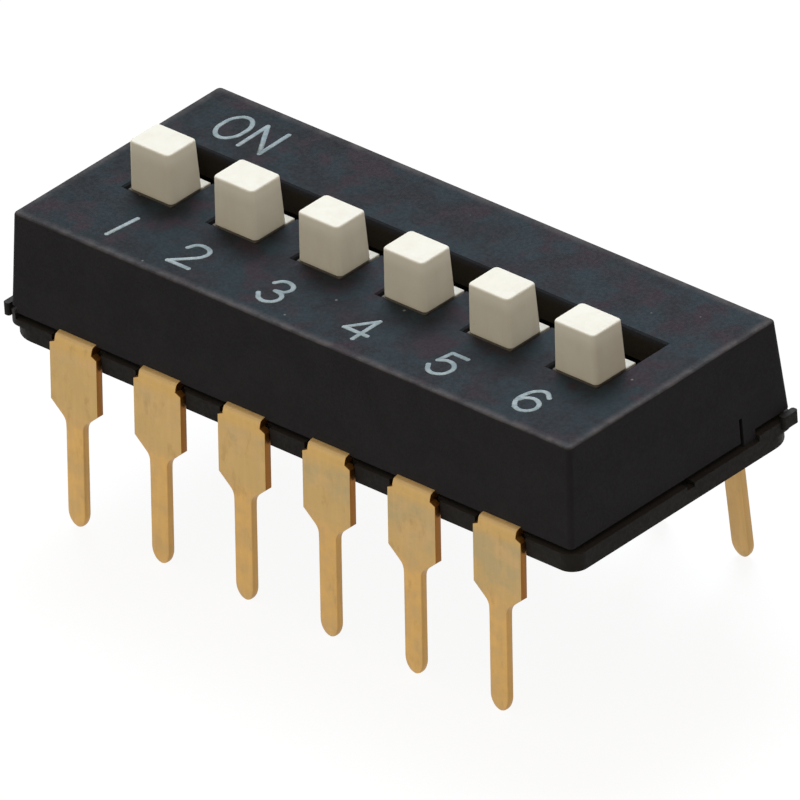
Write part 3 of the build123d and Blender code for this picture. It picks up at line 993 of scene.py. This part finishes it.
INK = (0.235, 0.305, 0.335, 1), (0.40, 0.47, 0.50, 1)
INK_FADED = (0.20, 0.265, 0.285, 1)
INK_WORN = (0.16, 0.19, 0.20, 1)
INK_ROUGHNESS = 0.5, 0.7
INK_SPECULAR = 0.15
INK_RELIEF = 0.15, 0.006 * MM


def legend_ink(skin):
    """Pale printing ink, thin, slightly patchy and unevenly faded."""
    material, tree, shader, vector, _ = start_material("legend ink")
    surface = place_group(tree, skin, vector, **{"Cloud Size": 0.22, "Grain Size": 0.05})
    grain = surface.outputs["Grain"]
    colour = blend(tree, ramp(tree, surface.outputs["Cloud"], low=0.35, high=0.65), *INK)
    fading = noise(tree, vector, scale=0.45, detail=2.0)
    faded = ramp(tree, fading, low=0.40, high=0.60, to_high=0.35)
    colour = blend(tree, faded, colour, INK_FADED)
    colour = blend(tree, ramp(tree, grain, low=0.62, high=0.8, to_high=0.5), colour, INK_WORN)
    finish_moulding(tree, shader, colour, grain, INK_ROUGHNESS, INK_SPECULAR, INK_RELIEF)
    return material


def dress(prefix, material):
    """Gives every CAD node whose name starts so its material."""
    for name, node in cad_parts.items():
        if name.startswith(prefix):
            node.data.materials.clear()
            node.data.materials.append(material)


# Stage


def seen_directly(tree):
    """One for rays from the camera, a mirror or a glass, and zero for the rest."""
    path = add(tree, "ShaderNodeLightPath")
    seen = maths(tree, "MAXIMUM", path.outputs["Is Camera Ray"], path.outputs["Is Glossy Ray"])
    return maths(tree, "MAXIMUM", seen, path.outputs["Is Transmission Ray"])


def white_floor():
    """A plain floor at the lead tips that looks white from above and keeps the object's shadow."""
    bpy.ops.object.select_all(action="DESELECT")
    bpy.ops.mesh.primitive_plane_add(size=FLOOR_SIZE, location=(0, 0, cad_low.z))
    floor = bpy.context.object
    floor.name = "floor"
    material = bpy.data.materials.new("floor")
    material.use_nodes = True
    tree = material.node_tree
    tree.nodes.clear()
    paint = add(tree, "ShaderNodeBsdfDiffuse", {"Color": (FLOOR_GREY, FLOOR_GREY, FLOOR_GREY, 1)})
    glow = add(tree, "ShaderNodeEmission", {"Color": WHITE})
    strength = maths(tree, "MULTIPLY", seen_directly(tree), FLOOR_GLOW)
    tree.links.new(strength, glow.inputs["Strength"])
    lit = add(tree, "ShaderNodeAddShader")
    tree.links.new(paint.outputs["BSDF"], lit.inputs[0])
    tree.links.new(glow.outputs["Emission"], lit.inputs[1])
    side = add(tree, "ShaderNodeNewGeometry")
    clear = add(tree, "ShaderNodeBsdfTransparent")
    cut = add(tree, "ShaderNodeMixShader")
    tree.links.new(side.outputs["Backfacing"], cut.inputs["Fac"])
    tree.links.new(lit.outputs["Shader"], cut.inputs[1])
    tree.links.new(clear.outputs["BSDF"], cut.inputs[2])
    output = add(tree, "ShaderNodeOutputMaterial")
    tree.links.new(cut.outputs["Shader"], output.inputs["Surface"])
    floor.data.materials.append(material)


def studio_light():
    """A large softbox behind and above, and a fill all round, stronger from the front left."""
    direction = SOFTBOX_FROM.normalized()
    lamp = bpy.data.lights.new("softbox", "AREA")
    lamp.shape = "SQUARE"
    lamp.size = SOFTBOX_SIZE
    lamp.energy = SOFTBOX_POWER
    lamp.color = SOFTBOX_COLOUR
    softbox = bpy.data.objects.new("softbox", lamp)
    softbox.location = direction * SOFTBOX_DISTANCE
    softbox.rotation_euler = (-direction).to_track_quat("-Z", "Y").to_euler()
    bpy.context.collection.objects.link(softbox)
    world = bpy.data.worlds.new("studio")
    world.use_nodes = True
    bpy.context.scene.world = world
    tree = world.node_tree
    background = tree.nodes["Background"]
    coords = add(tree, "ShaderNodeTexCoord")
    facing = add(tree, "ShaderNodeVectorMath", operation="DOT_PRODUCT")
    facing.inputs[1].default_value = FILL_FROM
    tree.links.new(coords.outputs["Generated"], facing.inputs[0])
    towards = ramp(tree, facing.outputs["Value"], low=-1.0, high=1.0)
    fill = blend(tree, towards, FILL_DIM, FILL_BRIGHT)
    tree.links.new(blend(tree, seen_directly(tree), fill, WHITE), background.inputs["Color"])


def photo_camera():
    """The camera at the photograph's angle."""
    azimuth, elevation = math.radians(CAMERA_AZIMUTH), math.radians(CAMERA_ELEVATION)
    back = Vector((
        math.sin(azimuth) * math.cos(elevation),
        -math.cos(azimuth) * math.cos(elevation),
        math.sin(elevation),
    ))
    data = bpy.data.cameras.new("camera")
    data.lens = CAMERA_LENS
    data.clip_start = CAMERA_NEAR
    data.clip_end = CAMERA_FAR
    camera = bpy.data.objects.new("camera", data)
    camera.location = CAMERA_AIM + back * CAMERA_DISTANCE
    level = (-back).to_track_quat("-Z", "Y")
    camera.rotation_mode = "QUATERNION"
    camera.rotation_quaternion = level @ Quaternion((0, 0, 1), math.radians(CAMERA_ROLL))
    bpy.context.collection.objects.link(camera)
    bpy.context.scene.camera = camera


def dress_switch():
    """Materials for the CAD nodes, and the pieces that are modelled here."""
    skin, dust = moulded_skin_group(), dust_group()
    dress("cover", cover_plastic(skin, dust))
    dress("base", base_plastic(skin))
    gold = gold_plate(skin)
    dress("contact", gold)
    place_terminals(gold)
    place_sliders(knob_plastic(skin, dust))
    print_legend(legend_ink(skin))


dress_switch()
white_floor()
studio_light()
photo_camera()
bpy.context.scene.view_settings.view_transform = "Standard"
